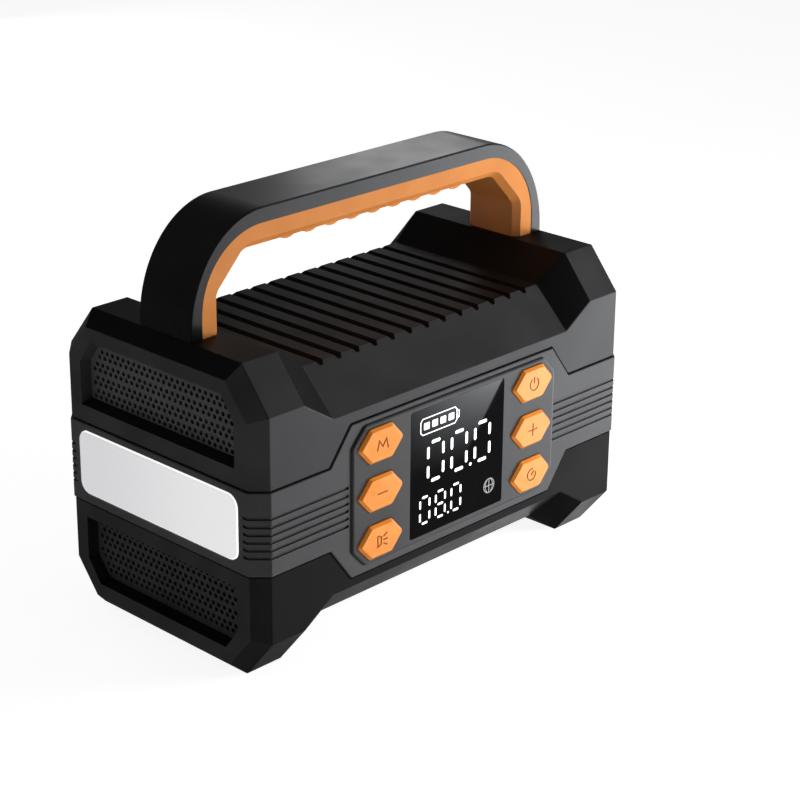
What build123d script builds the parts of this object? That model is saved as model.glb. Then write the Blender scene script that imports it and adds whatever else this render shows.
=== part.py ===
from build123d import *
import math
import os

# Portable jump starter pack with a built-in tyre inflator, a work lamp and a fixed carrying handle.
# Millimetres. X runs along the pack from the lamp end (-X) to the socket end (+X), -Y is the front
# with the display, +Z is up. The origin is on the floor under the middle of the overall box. The
# model is drawn about the middle of the shell, with the shell's underside at z = 0. Every part is
# moved as it is written: up, so that the rubber pads stand on z = 0, and back, because the buttons
# stand out further at the front than the hose outlet does at the back.

# ---------------------------------------------------------------- driving dimensions
LENGTH = 220.0
DEPTH = 119.0
BODY_HEIGHT = 132.0
WALL = 3.0
PAD_PROUD = 0.6
END_CHAMFER = 6.2
EDGE_RADIUS = 0.8          # rounding of every outside edge of the shells and the band

BLOCK_FLAT = 44.6          # half width of the flat top and bottom of an end block
BLOCK_SHOULDER = 18.3      # height of its sloped shoulders
BLOCK_INNER_X = 85.8       # where an end block starts to slope down into the trough
TROUGH_DROP = 11.0         # how far the trough lies below the end blocks
TROUGH_FLAT = 41.9
TROUGH_SHOULDER = 17.3
TROUGH_X = 70.0

BAND_LOW = 48.0            # the waist band between the upper and lower shells
BAND_HIGH = 83.3
BAND_PROUD = 0.6
PANEL_LOW = 32.4           # the band widens to a panel in the middle of the front and back
PANEL_HIGH = 98.6
PANEL_EDGE_X = 60.7
PANEL_FOOT_X = 72.2
SEAM = 0.5
SEAM_EDGE = 0.3            # bevel on both sides of the seams
LINER = 1.5                # lip inside the band that closes the seams
TONGUE = 3.0

RIB_COUNT = 13
RIB_PITCH = 10.14
RIB_GROOVE_TOP = 3.9
RIB_GROOVE_FLOOR = 1.7
RIB_GROOVE_DEPTH = 1.6

CORNER_GROOVES = (72.6, 69.1, 65.8, 62.6, 59.3, 56.0)
CORNER_GROOVE_WIDTH = 1.3
CORNER_GROOVE_DEPTH = 0.8

GRILLE_RECESS = 5.0
GRILLE_THICKNESS = 1.6
GRILLE_PITCH = 3.31
GRILLE_HOLE_R = 1.0
GRILLE_LIP = 2.0           # how far a grille reaches under the edge of its window
GRILLE_ROWS = (94.6, 97.1, 100.4, 102.9, 106.4, 108.9, 112.3, 114.8)

# a window in an end face: its half width, low edge, height of its sides, half width of its top, top
WINDOW_MOUTH = (46.3, 91.2, 110.1, 39.2, 119.8)
WINDOW_SEAT = (45.7, 93.0, 109.6, 38.7, 118.4)

LAMP_HALF_Y = 48.5
LAMP_HALF_Z = 14.3
LAMP_CENTRE_Z = 66.3
LAMP_CORNER = 5.5
WINDOW_PROUD = 0.4         # how far the lamp lens and the port door stand out from the band

PLATE_FACE_Y = -61.2       # front face of the control plate
PLATE_THICKNESS = 2.1
PLATE_HALF_X = 61.2
PLATE_LOW = 35.8
PLATE_HIGH = 96.6
PLATE_CUT_X = 7.2
PLATE_CUT_Z = 7.8
PLATE_CORNER = 2.5         # rounding between the sides of the plate
PLATE_ROUND = 0.9          # rounding of the rim of its front face
DISPLAY_CENTRE_Z = 66.4
DISPLAY_HALF_X = 28.4
DISPLAY_HALF_Z = 28.1
GLASS_THICKNESS = 1.2
GLASS_SUNK = 0.1           # how far the glass lies behind the face of the plate
GLASS_GAP = 0.15           # clearance all round the glass
GLASS_CORNER = 1.3

BUTTON_X = 46.0
BUTTON_PITCH = 20.9
BUTTON_CENTRE_Z = 66.2
BUTTON_POINT = 12.9        # centre to point, along X
BUTTON_FLAT_HALF = 6.2     # half length of the flat top and bottom sides
BUTTON_HALF_HEIGHT = 7.4
BUTTON_PROUD = 1.6
BUTTON_TRAVEL = 1.2
BUTTON_GAP = 0.3
BUTTON_CORNER = 1.5        # rounding between the sides of a button
BUTTON_BEVEL = 1.1

HANDLE_HALF_Y = 15.3
HANDLE_TOP = 178.8
HANDLE_HALF_X = 103.6
HANDLE_EDGE_R = 0.7
HANDLE_BEND_X = 65.0
HANDLE_BEND_Z = 133.9
GRIP_HALF_Y = 15.0
GRIP_OUTER_HALF_X = 97.4
GRIP_OUTER_TOP = 172.3
GRIP_INNER_HALF_X = 87.4
GRIP_INNER_TOP = 162.8
GRIP_INNER_SHOULDER = 147.6
GRIP_INNER_FLAT = 73.0
GRIP_BEND_R = 32.0
GRIP_EDGE = 2.8
BUMP_COUNT = 9
BUMP_PITCH = 12.3
BUMP_LENGTH = 7.4
BUMP_HEIGHT = 1.0

CASE_SCREW_R = 2.0
CASE_SCREW_HEAD_R = 3.4
CASE_SCREW_SEAT_Z = 38.0   # where the heads of the case screws bear on the lower shell's posts
HANDLE_SCREW_R = 1.5
BOARD_SCREW_R = 1.2
CASE_SCREW_X = 96.0
CASE_SCREW_Y = 22.0
HANDLE_SCREW_X = 93.3
HANDLE_SCREW_Y = 8.0
PAD_X = 94.8
PAD_Y = 35.0
PUMP_Y = -22.0             # plane of the motor, crank and cylinder axes
MOTOR_Z = 34.0
MOTOR_R = 17.9
GEAR_MODULE = 0.7
PINION_TEETH = 18
CRANK_TEETH = 54
CRANK_THROW = 7.0
CYLINDER_X = 8.1
CYLINDER_BORE_R = 12.0
SHAFT_R = 1.6
AXLE_R = 3.0

OUTLET_PROUD = 0.8
FRONT_Y = PLATE_FACE_Y - BUTTON_PROUD
BACK_Y = DEPTH / 2 + BAND_PROUD + OUTLET_PROUD
TO_ORIGIN = (0, -(FRONT_Y + BACK_Y) / 2, PAD_PROUD)

os.makedirs("parts", exist_ok=True)


# ---------------------------------------------------------------- helpers
def save(name, shape):
    export_step(Pos(*TO_ORIGIN) * shape, f"parts/{name}.step")


def block(x_low, x_high, y_low, y_high, z_low, z_high):
    box = Box(x_high - x_low, y_high - y_low, z_high - z_low)
    return Pos((x_low + x_high) / 2, (y_low + y_high) / 2, (z_low + z_high) / 2) * box


def rod_x(radius, x_low, x_high, y, z):
    return Pos((x_low + x_high) / 2, y, z) * Rot(0, 90, 0) * Cylinder(radius, x_high - x_low)


def rod_y(radius, y_low, y_high, x, z):
    return Pos(x, (y_low + y_high) / 2, z) * Rot(90, 0, 0) * Cylinder(radius, y_high - y_low)


def rod_z(radius, z_low, z_high, x, y):
    return Pos(x, y, (z_low + z_high) / 2) * Cylinder(radius, z_high - z_low)


def moved_outline(points, distance):
    """A closed counter-clockwise outline with every side moved inwards, or outwards if negative."""
    moved = []
    for index, (x, y) in enumerate(points):
        before_x, before_y = points[index - 1]
        after_x, after_y = points[(index + 1) % len(points)]
        length_in = math.hypot(x - before_x, y - before_y)
        length_out = math.hypot(after_x - x, after_y - y)
        in_x, in_y = (before_y - y) / length_in, (x - before_x) / length_in
        out_x, out_y = (y - after_y) / length_out, (after_x - x) / length_out
        reach = distance / (1 + in_x * out_x + in_y * out_y)
        moved.append((x + (in_x + out_x) * reach, y + (in_y + out_y) * reach))
    return moved


def prism_x(points, x_low, x_high):
    """Outline in Y-Z, extruded along X."""
    face = Face(Wire.make_polygon([Vector(x_low, y, z) for y, z in points]))
    return Solid.extrude(face, Vector(x_high - x_low, 0, 0))


def prism_y(points, y_low, y_high, corner=0):
    """Outline in X-Z, extruded along Y, with its corners rounded if a radius is given."""
    face = Face(Wire.make_polygon([Vector(x, y_low, z) for x, z in points]))
    solid = Solid.extrude(face, Vector(0, y_high - y_low, 0))
    if corner:
        solid = fillet(solid.edges().filter_by(Axis.Y), corner)
    return solid


def rounded_x(half_y, half_z, corner, x_low, x_high):
    """Rounded rectangle in Y-Z at the height of the lamp and the sockets, extruded along X."""
    sketch = RectangleRounded(2 * half_y, 2 * half_z, corner)
    plane = Plane(origin=(x_low, 0, LAMP_CENTRE_Z), x_dir=(0, 1, 0), z_dir=(1, 0, 0))
    return extrude(plane * sketch, x_high - x_low)


def four_sided(a, b, c, d):
    """Flat face through four corners, or a ruled one where they don't lie in a plane."""
    if abs((b - a).cross(d - a).dot(c - a)) < 1e-6:
        return Face(Wire.make_polygon([a, b, c, d]))
    return Face.make_surface_from_curves(Edge.make_line(a, b), Edge.make_line(d, c))


def skin(stations):
    """Closed solid through a row of outlines (x, [(y, z), ...]) with straight sides between them."""
    rings = [[Vector(x, y, z) for y, z in outline] for x, outline in stations]
    faces = [Face(Wire.make_polygon(rings[0])), Face(Wire.make_polygon(rings[-1]))]
    for ring, following in zip(rings, rings[1:]):
        for index, corner in enumerate(ring):
            other = (index + 1) % len(ring)
            faces.append(four_sided(corner, ring[other], following[other], following[index]))
    return Solid(Shell(faces)).clean()


# ---------------------------------------------------------------- the outer form
def octagon(half, flat, low, high, shoulder):
    right = [(flat, low), (half, low + shoulder), (half, high - shoulder), (flat, high)]
    left = [(-y, z) for y, z in reversed(right)]
    return right + left


def pack_form(inset):
    """The whole body as one solid, with every face moved inwards by inset."""
    end_block = octagon(DEPTH / 2, BLOCK_FLAT, 0, BODY_HEIGHT, BLOCK_SHOULDER)
    trough = octagon(DEPTH / 2, TROUGH_FLAT, TROUGH_DROP, BODY_HEIGHT - TROUGH_DROP, TROUGH_SHOULDER)
    slope = math.atan2(TROUGH_DROP, BLOCK_INNER_X - TROUGH_X)
    slope_shift = inset * math.tan(slope / 2)
    chamfer_shift = inset * math.tan(math.radians(22.5))
    end_outline = moved_outline(end_block, END_CHAMFER + chamfer_shift)
    block_outline = moved_outline(end_block, inset)
    trough_outline = moved_outline(trough, inset)
    half = [
        (LENGTH / 2 - inset, end_outline),
        (LENGTH / 2 - END_CHAMFER - chamfer_shift, block_outline),
        (BLOCK_INNER_X + slope_shift, block_outline),
        (TROUGH_X + slope_shift, trough_outline),
    ]
    other_half = [(-x, outline) for x, outline in half]
    return skin(other_half + half[::-1])


def band_zone(grow):
    """The X-Z region of the waist band, through the whole depth."""
    reach = LENGTH
    outline = [
        (-reach, BAND_LOW), (-PANEL_FOOT_X, BAND_LOW), (-PANEL_EDGE_X, PANEL_LOW),
        (PANEL_EDGE_X, PANEL_LOW), (PANEL_FOOT_X, BAND_LOW), (reach, BAND_LOW),
        (reach, BAND_HIGH), (PANEL_FOOT_X, BAND_HIGH), (PANEL_EDGE_X, PANEL_HIGH),
        (-PANEL_EDGE_X, PANEL_HIGH), (-PANEL_FOOT_X, BAND_HIGH), (-reach, BAND_HIGH),
    ]
    return prism_y(moved_outline(outline, -grow), -DEPTH, DEPTH)


def rounded_form(inset):
    form = pack_form(inset)
    return fillet(form.edges(), EDGE_RADIUS)


def bevel_seams(solid, zone):
    """Bevel the edges of a solid that lie on the boundary of the band's zone."""
    zone_faces = zone.faces()

    def on_zone(point):
        return min(face.distance_to(Vertex(point.X, point.Y, point.Z)) for face in zone_faces) < 0.001

    edges = [edge for edge in solid.edges() if all(on_zone(edge @ at) for at in (0, 0.5, 1))]
    return chamfer(edges, SEAM_EDGE)


CAVITY = pack_form(WALL)


# ---------------------------------------------------------------- end windows and grilles
def window_outline(dimensions, upper):
    """Recess in an end face: a rectangle whose two outer corners are cut off."""
    half, low, side_top, top_half, high = dimensions
    outline = [
        (half, low), (half, side_top), (top_half, high),
        (-top_half, high), (-half, side_top), (-half, low),
    ]
    if upper:
        return outline
    return [(y, BODY_HEIGHT - z) for y, z in reversed(outline)]


def end_window(side, upper):
    """Tapered hole through an end wall and the boss behind it."""
    outer_x = side * LENGTH / 2
    seat_x = side * (LENGTH / 2 - GRILLE_RECESS)
    mouth = window_outline(WINDOW_MOUTH, upper)
    seat = window_outline(WINDOW_SEAT, upper)
    return skin(sorted([(outer_x, mouth), (seat_x, seat)]))


def end_boss(side, upper):
    """Frame behind an end wall that a grille is welded to."""
    outline = moved_outline(window_outline(WINDOW_SEAT, upper), -WALL)
    inner_x = side * (LENGTH / 2 - GRILLE_RECESS)
    wall_x = side * (LENGTH / 2 - WALL + 0.5)
    return prism_x(outline, inner_x, wall_x)


def grille(side, upper):
    """Flat perforated plate with rows of round holes in staggered pairs."""
    half, low, side_top, top_half, high = WINDOW_SEAT
    edge_gap = 0.3
    outline = moved_outline(window_outline(WINDOW_SEAT, upper), -GRILLE_LIP)
    plate = Face(Wire.make_polygon([Vector(0, y, z) for y, z in outline]))
    holes = []
    for row, height in enumerate(GRILLE_ROWS):
        cut = max(0, height + GRILLE_HOLE_R - side_top) * (half - top_half) / (high - side_top)
        reach = half - cut - GRILLE_HOLE_R - edge_gap
        shift = GRILLE_PITCH / 2 if row % 2 else 0
        first = math.ceil((-reach - shift) / GRILLE_PITCH)
        last = math.floor((reach - shift) / GRILLE_PITCH)
        z = height if upper else BODY_HEIGHT - height
        for step in range(first, last + 1):
            centre = Plane(origin=(0, shift + step * GRILLE_PITCH, z), z_dir=(1, 0, 0))
            holes.append(Wire.make_circle(GRILLE_HOLE_R, centre))
    sheet = Solid.extrude(plate.make_holes(holes), Vector(GRILLE_THICKNESS, 0, 0))
    face_x = LENGTH / 2 - GRILLE_RECESS
    low_x = -face_x if side < 0 else face_x - GRILLE_THICKNESS
    return Pos(low_x, 0, 0) * sheet


# ---------------------------------------------------------------- shells
def foot_places(x, y):
    return [(sx * x, sy * y) for sx in (-1, 1) for sy in (-1, 1)]


def half_shell(index):
    """The lower (0) or upper (1) of the two shells that the band's zone leaves."""
    zone = band_zone(SEAM)
    halves = bevel_seams(rounded_form(0) - zone, zone) - CAVITY
    return halves.solids().sort_by(Axis.Z)[index]


def upper_shell():
    shell = half_shell(1)
    trough_z = BODY_HEIGHT - TROUGH_DROP
    flare = (RIB_GROOVE_TOP - RIB_GROOVE_FLOOR) / 2 / RIB_GROOVE_DEPTH
    half_top = RIB_GROOVE_TOP / 2 + flare
    half_floor = RIB_GROOVE_FLOOR / 2
    floor_z = trough_z - RIB_GROOVE_DEPTH
    for index in range(RIB_COUNT):
        x = (index - (RIB_COUNT - 1) / 2) * RIB_PITCH
        outline = [
            (x - half_floor, floor_z), (x + half_floor, floor_z),
            (x + half_top, trough_z + 1), (x - half_top, trough_z + 1),
        ]
        shell -= prism_y(outline, -DEPTH, DEPTH)
    for side in (-1, 1):
        shell += end_boss(side, True)
        shell -= end_window(side, True)
    for x, y in foot_places(CASE_SCREW_X, CASE_SCREW_Y):
        shell += rod_z(4.5, 50.3, BODY_HEIGHT - 2, x, y)
        shell -= rod_z(CASE_SCREW_R + 0.1, 50, 77, x, y)
    for x, y in handle_screw_places():
        shell -= rod_z(HANDLE_SCREW_R + 0.2, BODY_HEIGHT - 2 * WALL, BODY_HEIGHT + 1, x, y)
    return shell


def lower_shell():
    shell = half_shell(0)
    for side in (-1, 1):
        shell += end_boss(side, False)
        shell -= end_window(side, False)
    for x, y in foot_places(CASE_SCREW_X, CASE_SCREW_Y):
        shell += rod_z(5.5, 1, 50, x, y)
        shell -= rod_z(CASE_SCREW_HEAD_R + 0.3, -1, CASE_SCREW_SEAT_Z, x, y)
        shell -= rod_z(CASE_SCREW_R + 0.2, 30, 51, x, y)
    for x, y in foot_places(PAD_X, PAD_Y):
        shell -= foot_pad(x, y, 0.1)
    return shell


def foot_pad(x, y, clearance):
    pad = RectangleRounded(12 + 2 * clearance, 17 + 2 * clearance, 3)
    return Pos(x, y, -PAD_PROUD) * extrude(pad, 1.0 + PAD_PROUD)


def corner_groove_cutter():
    slab = pack_form(-2 * BAND_PROUD) - pack_form(CORNER_GROOVE_DEPTH - BAND_PROUD)
    strips = []
    for z in CORNER_GROOVES:
        for sx in (-1, 1):
            for sy in (-1, 1):
                near_x, far_x = sorted((sx * (PLATE_HALF_X + 1.2), sx * LENGTH))
                near_y, far_y = sorted((sy * (LAMP_HALF_Y + 2.4), sy * DEPTH))
                half = CORNER_GROOVE_WIDTH / 2
                strips.append(block(near_x, far_x, near_y, far_y, z - half, z + half))
    return slab & Compound(strips)


def display_hole(half_x, half_z, y_low, y_high):
    return block(-half_x, half_x, y_low, y_high, DISPLAY_CENTRE_Z - half_z, DISPLAY_CENTRE_Z + half_z)


def middle_band():
    zone = band_zone(0)
    hoop = bevel_seams(rounded_form(-BAND_PROUD) & zone, zone) - CAVITY
    liner = (CAVITY - pack_form(WALL + LINER)) & zone
    tongue = (pack_form(WALL + 0.05) - pack_form(WALL + LINER)) & band_zone(TONGUE)
    band = hoop + liner + tongue
    # lamp window with a ledge behind it, and the socket window
    wall_x = LENGTH / 2 - WALL
    inner_x = wall_x - 2 * LINER
    ledge = 2.0
    band -= rounded_x(LAMP_HALF_Y, LAMP_HALF_Z, LAMP_CORNER, -LENGTH, -wall_x)
    band -= rounded_x(LAMP_HALF_Y - ledge, LAMP_HALF_Z - ledge, LAMP_CORNER - ledge, -LENGTH, -inner_x)
    band -= rounded_x(LAMP_HALF_Y, LAMP_HALF_Z, DOOR_CORNER + DOOR_GAP, inner_x, LENGTH)
    band -= rod_y(DOOR_PIN_R + 0.05, -DOOR_PIN_HALF, DOOR_PIN_HALF, DOOR_PIN_X, DOOR_PIN_Z)
    # seat and holes for the control plate, the display and the buttons
    face_y = -DEPTH / 2 - BAND_PROUD
    seat = moved_outline(plate_outline(), -0.15)
    band -= prism_y(seat, face_y - 1, PLATE_FACE_Y + PLATE_THICKNESS, PLATE_CORNER)
    band -= display_hole(27.2, 26.8, face_y - 1, -DEPTH / 2 + 2 * WALL)
    for x, z in button_places():
        band -= prism_y(button_outline(x, z, -1.2), face_y - 1, -DEPTH / 2 + 2 * WALL)
    for x, z in board_screw_places():
        band += rod_y(2.6, -DEPTH / 2 + WALL + 0.5, BOARD_Y, x, z)
        band -= rod_y(BOARD_SCREW_R + 0.1, -DEPTH / 2 + WALL + 1, BOARD_Y, x, z)
    # blank recess for the rating label and the hose outlet at the back
    back_y = DEPTH / 2 + BAND_PROUD
    band -= block(-38, 38, back_y - 0.5, back_y + 1, 46, 86)
    band -= rod_y(OUTLET_NECK_R, DEPTH / 2 - 3 * WALL, back_y + 1, OUTLET_X, OUTLET_Z)
    band -= corner_groove_cutter()
    return band


# ---------------------------------------------------------------- front panel
BOARD_Y = -51.4            # front face of the control board


def plate_outline():
    inner = PLATE_HALF_X - PLATE_CUT_X
    right = [
        (inner, PLATE_LOW), (PLATE_HALF_X, PLATE_LOW + PLATE_CUT_Z),
        (PLATE_HALF_X, PLATE_HIGH - PLATE_CUT_Z), (inner, PLATE_HIGH),
    ]
    return right + [(-x, z) for x, z in reversed(right)]


def glass_outline(inset):
    half_x = DISPLAY_HALF_X - inset
    low = DISPLAY_CENTRE_Z - DISPLAY_HALF_Z + inset
    high = DISPLAY_CENTRE_Z + DISPLAY_HALF_Z - inset
    return [(-half_x, low), (half_x, low), (half_x, high), (-half_x, high)]


def button_outline(x, z, inset):
    """Flat-topped hexagon, longer than it is high."""
    corners = [
        (BUTTON_POINT, 0), (BUTTON_FLAT_HALF, BUTTON_HALF_HEIGHT), (-BUTTON_FLAT_HALF, BUTTON_HALF_HEIGHT),
        (-BUTTON_POINT, 0), (-BUTTON_FLAT_HALF, -BUTTON_HALF_HEIGHT), (BUTTON_FLAT_HALF, -BUTTON_HALF_HEIGHT),
    ]
    return [(x + dx, z + dz) for dx, dz in moved_outline(corners, inset)]


def button_places():
    heights = [BUTTON_CENTRE_Z + row * BUTTON_PITCH for row in (1, 0, -1)]
    return [(side * BUTTON_X, z) for side in (-1, 1) for z in heights]


def board_screw_places():
    return [(sx * 59.5, BUTTON_CENTRE_Z + sz * 27.5) for sx in (-1, 1) for sz in (-1, 1)]


def control_plate():
    back_y = PLATE_FACE_Y + PLATE_THICKNESS
    ledge_y = PLATE_FACE_Y + GLASS_SUNK + GLASS_THICKNESS
    plate = prism_y(plate_outline(), PLATE_FACE_Y, back_y, PLATE_CORNER)
    plate = fillet(plate.faces().sort_by(Axis.Y)[0].edges(), PLATE_ROUND)
    plate -= prism_y(glass_outline(0), PLATE_FACE_Y - 1, ledge_y, GLASS_CORNER)
    plate -= display_hole(DISPLAY_HALF_X - 2.4, DISPLAY_HALF_Z - 2.5, PLATE_FACE_Y - 1, back_y + 1)
    for x, z in button_places():
        plate -= prism_y(button_outline(x, z, -BUTTON_GAP), PLATE_FACE_Y - 1, back_y + 1, BUTTON_CORNER)
    return plate


def display_glass():
    front_y = PLATE_FACE_Y + GLASS_SUNK
    return prism_y(glass_outline(GLASS_GAP), front_y, front_y + GLASS_THICKNESS, GLASS_CORNER)


def display_module():
    return display_hole(25.5, 25, PLATE_FACE_Y + GLASS_SUNK + GLASS_THICKNESS, BOARD_Y)


def keypad_mat():
    front_y = BOARD_Y - 1.2
    mat = block(-56, 56, front_y, BOARD_Y, BUTTON_CENTRE_Z - 29.5, BUTTON_CENTRE_Z + 29.5)
    mat -= display_hole(25.7, 25.2, front_y - 1, BOARD_Y + 1)
    for x, z in button_places():
        dome = Pos(x, front_y - 0.9, z) * Rot(90, 0, 0) * Cone(4.6, 3.2, 1.8)
        mat += dome
    return mat


def control_board():
    board = block(-62.5, 62.5, BOARD_Y, BOARD_Y + 1.6, BUTTON_CENTRE_Z - 30.5, BUTTON_CENTRE_Z + 30.5)
    for x, z in board_screw_places():
        board -= rod_y(BOARD_SCREW_R + 0.1, BOARD_Y - 1, BOARD_Y + 3, x, z)
    board += block(-12, 12, BOARD_Y + 1.6, BOARD_Y + 4.1, BUTTON_CENTRE_Z - 10, BUTTON_CENTRE_Z + 10)
    return board


def board_screws():
    screws = []
    for x, z in board_screw_places():
        shank = rod_y(BOARD_SCREW_R, BOARD_Y - 3.1, BOARD_Y + 1.7, x, z)
        screws.append(shank + rod_y(2.4, BOARD_Y + 1.6, BOARD_Y + 3.1, x, z))
    return Compound(screws)


# ---------------------------------------------------------------- buttons
def bar(x0, z0, x1, z1, width):
    """One round-ended stroke in X-Z, tall enough in Y to cut with."""
    length = math.hypot(x1 - x0, z1 - z0)
    angle = math.degrees(math.atan2(z1 - z0, x1 - x0))
    sketch = SlotCenterToCenter(length, width)
    solid = extrude(sketch, 1, both=True)
    return Pos((x0 + x1) / 2, 0, (z0 + z1) / 2) * Rot(0, -angle, 0) * Rot(90, 0, 0) * solid


def ring(x, z, radius, width, gap_from=0, gap_to=0):
    """A ring in X-Z, with an optional gap given as a wedge of angles in degrees."""
    band = rod_y(radius + width / 2, -1, 1, x, z) - rod_y(radius - width / 2, -2, 2, x, z)
    if gap_to > gap_from:
        middle = math.radians((gap_from + gap_to) / 2)
        half = math.radians((gap_to - gap_from) / 2)
        far = 2 * radius
        wedge = [
            (x, z),
            (x + far * math.cos(middle - half), z + far * math.sin(middle - half)),
            (x + far * math.cos(middle + half), z + far * math.sin(middle + half)),
        ]
        band -= prism_y(wedge, -2, 2)
    return band


def symbol(kind):
    """Generic sign on a button, drawn about the button's centre."""
    width = 0.7
    if kind == "mode":
        corners = [(-3, -2), (-2, 2), (0, -1), (2, 2), (3, -2)]
        return [bar(*a, *b, width) for a, b in zip(corners, corners[1:])]
    if kind == "minus":
        return [bar(-2.6, 0, 2.6, 0, width)]
    if kind == "plus":
        return [bar(-2.6, 0, 2.6, 0, width), bar(0, -2.6, 0, 2.6, width)]
    if kind == "power":
        return [ring(0, 0, 2.7, width, 60, 120), bar(0, 0.6, 0, 3, width)]
    if kind == "light":
        torch = [(-2.6, -2.4), (-2.6, 2.4), (-0.6, 1.6), (-0.6, -1.6), (-2.6, -2.4)]
        rays = [(0.8, 1.6, 2.6, 2.6), (0.8, 0, 2.8, 0), (0.8, -1.6, 2.6, -2.6)]
        return [bar(*a, *b, width) for a, b in zip(torch, torch[1:])] + [bar(*ray, width) for ray in rays]
    return [ring(0, 0, 2.6, width, 20, 70), bar(0, 0, 1.3, 1.3, width)]


def button(kind, x, z):
    face_y = PLATE_FACE_Y - BUTTON_PROUD
    flange_y = PLATE_FACE_Y + PLATE_THICKNESS + BUTTON_GAP
    cap = prism_y(button_outline(x, z, 0), face_y, flange_y, BUTTON_CORNER)
    cap = chamfer(cap.faces().sort_by(Axis.Y)[0].edges(), BUTTON_BEVEL)
    cap += prism_y(button_outline(x, z, -0.8), flange_y, flange_y + 0.8)
    cap += rod_y(3, flange_y, flange_y + 2.8, x, z)
    for stroke in symbol(kind):
        cap -= Pos(x, face_y - 0.75, z) * stroke
    return cap


# ---------------------------------------------------------------- handle
def handle_screw_places():
    return foot_places(HANDLE_SCREW_X, HANDLE_SCREW_Y)


def arch(half_x, bend_x, bend_z, top_z):
    """X-Z face under an arch with quarter-ellipse corners, standing on the end blocks."""
    base = BODY_HEIGHT
    radius_x = half_x - bend_x
    radius_z = top_z - bend_z
    middle = Pos(0, (base + top_z) / 2) * Rectangle(2 * bend_x, top_z - base)
    legs = Pos(0, (base + bend_z) / 2) * Rectangle(2 * half_x, bend_z - base)
    bends = [Pos(side * bend_x, bend_z) * Ellipse(radius_x, radius_z) for side in (-1, 1)]
    above_base = Pos(0, base + LENGTH / 2) * Rectangle(2 * LENGTH, LENGTH)
    return (middle + legs + bends[0] + bends[1]) & above_base


def stand_up(sketch, half_y):
    """Turn an X-Z sketch upright and extrude it to both sides of the middle plane."""
    upright = Plane(origin=(0, 0, 0), x_dir=(1, 0, 0), z_dir=(0, -1, 0)) * sketch
    return extrude(upright, half_y, both=True)


def grip_opening():
    points = [
        (-GRIP_INNER_HALF_X, BODY_HEIGHT - 5), (GRIP_INNER_HALF_X, BODY_HEIGHT - 5),
        (GRIP_INNER_HALF_X, GRIP_INNER_SHOULDER), (GRIP_INNER_FLAT, GRIP_INNER_TOP),
        (-GRIP_INNER_FLAT, GRIP_INNER_TOP), (-GRIP_INNER_HALF_X, GRIP_INNER_SHOULDER),
    ]
    opening = make_face(Polyline(*points, close=True))
    upper_corners = [v for v in opening.vertices() if v.Y > BODY_HEIGHT]
    return fillet(upper_corners, 6)


def inner_arch():
    bend_x = GRIP_OUTER_HALF_X - GRIP_BEND_R
    return arch(GRIP_OUTER_HALF_X, bend_x, GRIP_OUTER_TOP - GRIP_BEND_R, GRIP_OUTER_TOP)


def handle_cover():
    outline = arch(HANDLE_HALF_X, HANDLE_BEND_X, HANDLE_BEND_Z, HANDLE_TOP)
    cover = stand_up(outline - inner_arch(), HANDLE_HALF_Y)
    rim = [
        edge for edge in cover.edges()
        if abs(abs(edge.center().Y) - HANDLE_HALF_Y) < 0.01 and edge.center().Z > BODY_HEIGHT + 0.1
        and on_outer_arch(edge)
    ]
    return fillet(rim, HANDLE_EDGE_R)


def on_outer_arch(edge):
    """True for an edge of the arch's outer surface, false for one of its inner surface."""
    middle = edge @ 0.5
    margin = 2.0
    if abs(middle.X) < HANDLE_BEND_X:
        return middle.Z > HANDLE_TOP - margin
    if middle.Z < HANDLE_BEND_Z:
        return abs(middle.X) > HANDLE_HALF_X - margin
    across = (abs(middle.X) - HANDLE_BEND_X) / (HANDLE_HALF_X - HANDLE_BEND_X)
    up = (middle.Z - HANDLE_BEND_Z) / (HANDLE_TOP - HANDLE_BEND_Z)
    return math.hypot(across, up) > 0.97


def handle_grip():
    grip = stand_up(inner_arch() - grip_opening(), GRIP_HALF_Y)
    inner_edges = [
        edge for edge in grip.edges()
        if abs(abs(edge.center().Y) - GRIP_HALF_Y) < 0.01 and abs((edge @ 0.5).X) < GRIP_INNER_HALF_X + 0.5
        and BODY_HEIGHT + 1 < (edge @ 0.5).Z < GRIP_INNER_TOP + 0.5
        and not on_grip_back(edge)
    ]
    grip = chamfer(inner_edges, GRIP_EDGE)
    bump_radius = (BUMP_LENGTH ** 2 / 4 + BUMP_HEIGHT ** 2) / (2 * BUMP_HEIGHT)
    below = block(-LENGTH, LENGTH, -DEPTH, DEPTH, 0, GRIP_INNER_TOP + 0.5)
    for index in range(BUMP_COUNT):
        x = (index - (BUMP_COUNT - 1) / 2) * BUMP_PITCH
        centre_z = GRIP_INNER_TOP - BUMP_HEIGHT + bump_radius
        grip += rod_y(bump_radius, -GRIP_HALF_Y + GRIP_EDGE, GRIP_HALF_Y - GRIP_EDGE, x, centre_z) & below
    for x, y in handle_screw_places():
        grip -= rod_z(HANDLE_SCREW_R + 0.05, BODY_HEIGHT - 1, BODY_HEIGHT + 11, x, y)
    return grip


def on_grip_back(edge):
    """True for an edge on the surface where the grip meets the cover."""
    middle = edge @ 0.5
    across = abs(middle.X) - (GRIP_OUTER_HALF_X - GRIP_BEND_R)
    up = middle.Z - (GRIP_OUTER_TOP - GRIP_BEND_R)
    return across > 0 and up > 0 and math.hypot(across, up) > GRIP_BEND_R - 1


def screw_z(x, y, head_low, head_r, head_height, shank_r, shank_high):
    screw = rod_z(head_r, head_low, head_low + head_height, x, y)
    screw += rod_z(shank_r, head_low, shank_high, x, y)
    recess = Pos(x, y, head_low) * extrude(RegularPolygon(0.5 * head_r, 6), 0.5 * head_height)
    return screw - recess


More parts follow.
